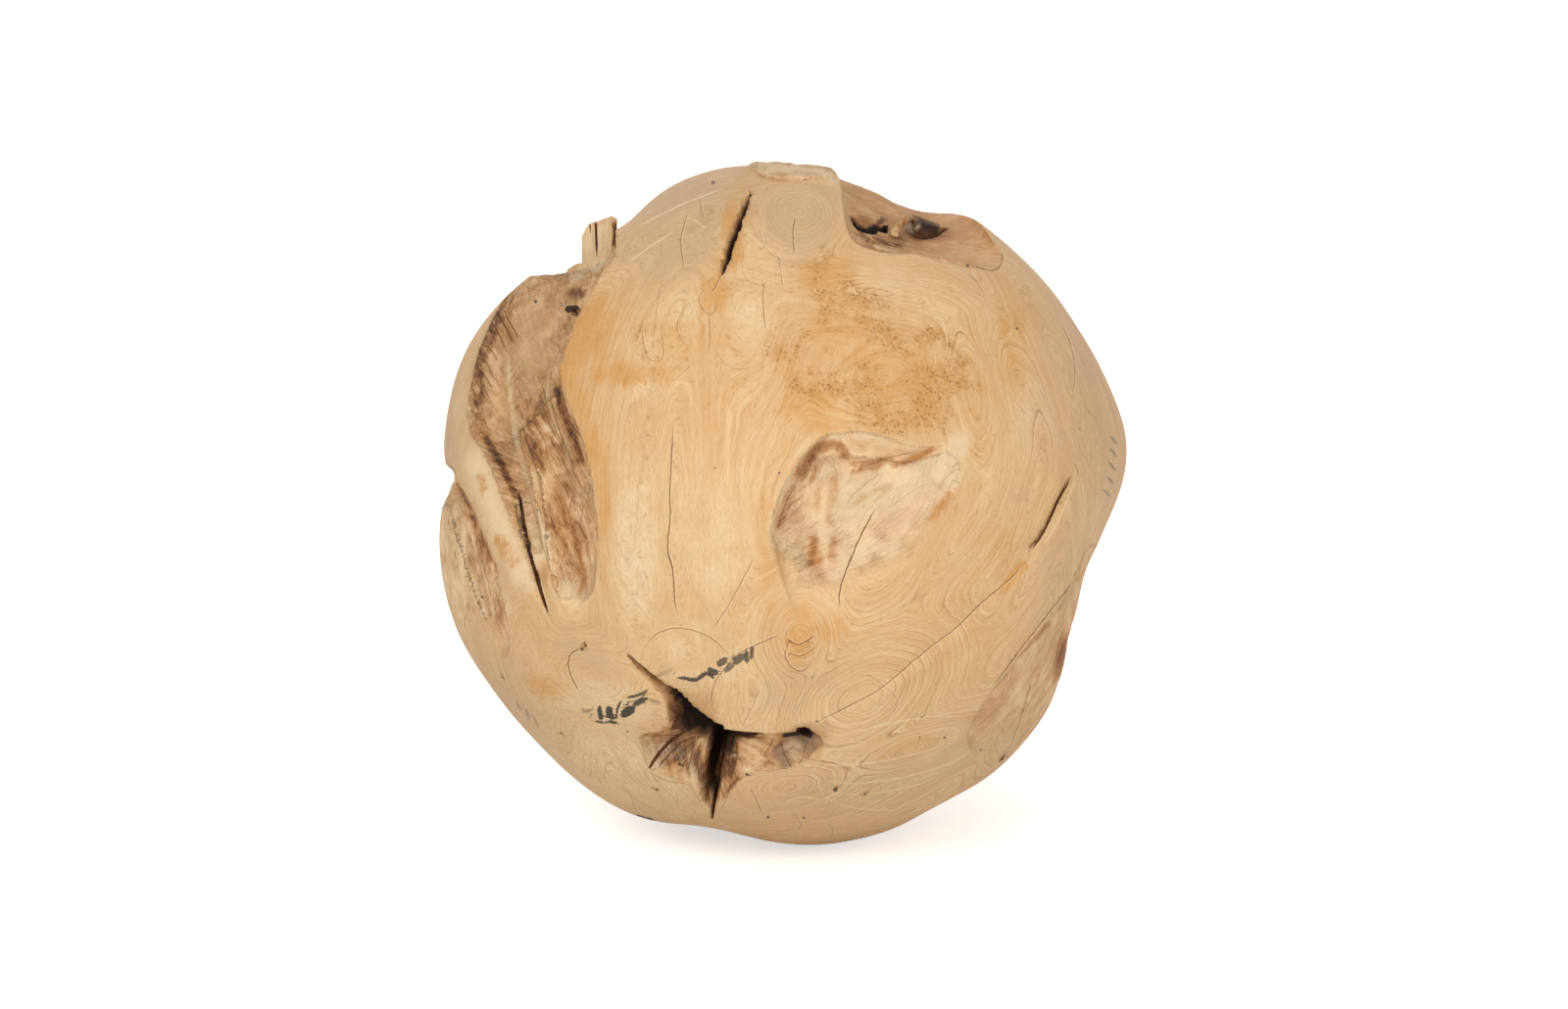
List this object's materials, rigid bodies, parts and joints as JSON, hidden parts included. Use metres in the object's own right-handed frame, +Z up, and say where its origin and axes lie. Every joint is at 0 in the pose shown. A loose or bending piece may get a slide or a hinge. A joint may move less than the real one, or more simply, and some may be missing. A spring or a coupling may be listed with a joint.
{
  "type": "wooden ball",
  "caption": "Ball sanded from one teak root, with natural hollows, folds, open cracks, a broken root stub and a small flat to rest on.",
  "frame": {"origin": "middle of the flat on which the ball rests", "axes": "+Z up, +X to the right as seen from in front; the ball's face looks towards -Y and leans back 15 degrees"},
  "size_m": [0.35, 0.3484, 0.3438],
  "materials": {
    "teak_root": "teak root, sanded and left unfinished, rough weathered grain in the hollows"
  },
  "bodies": {
    "root": {"root_ball": "teak_root"}
  },
  "joints": []
}
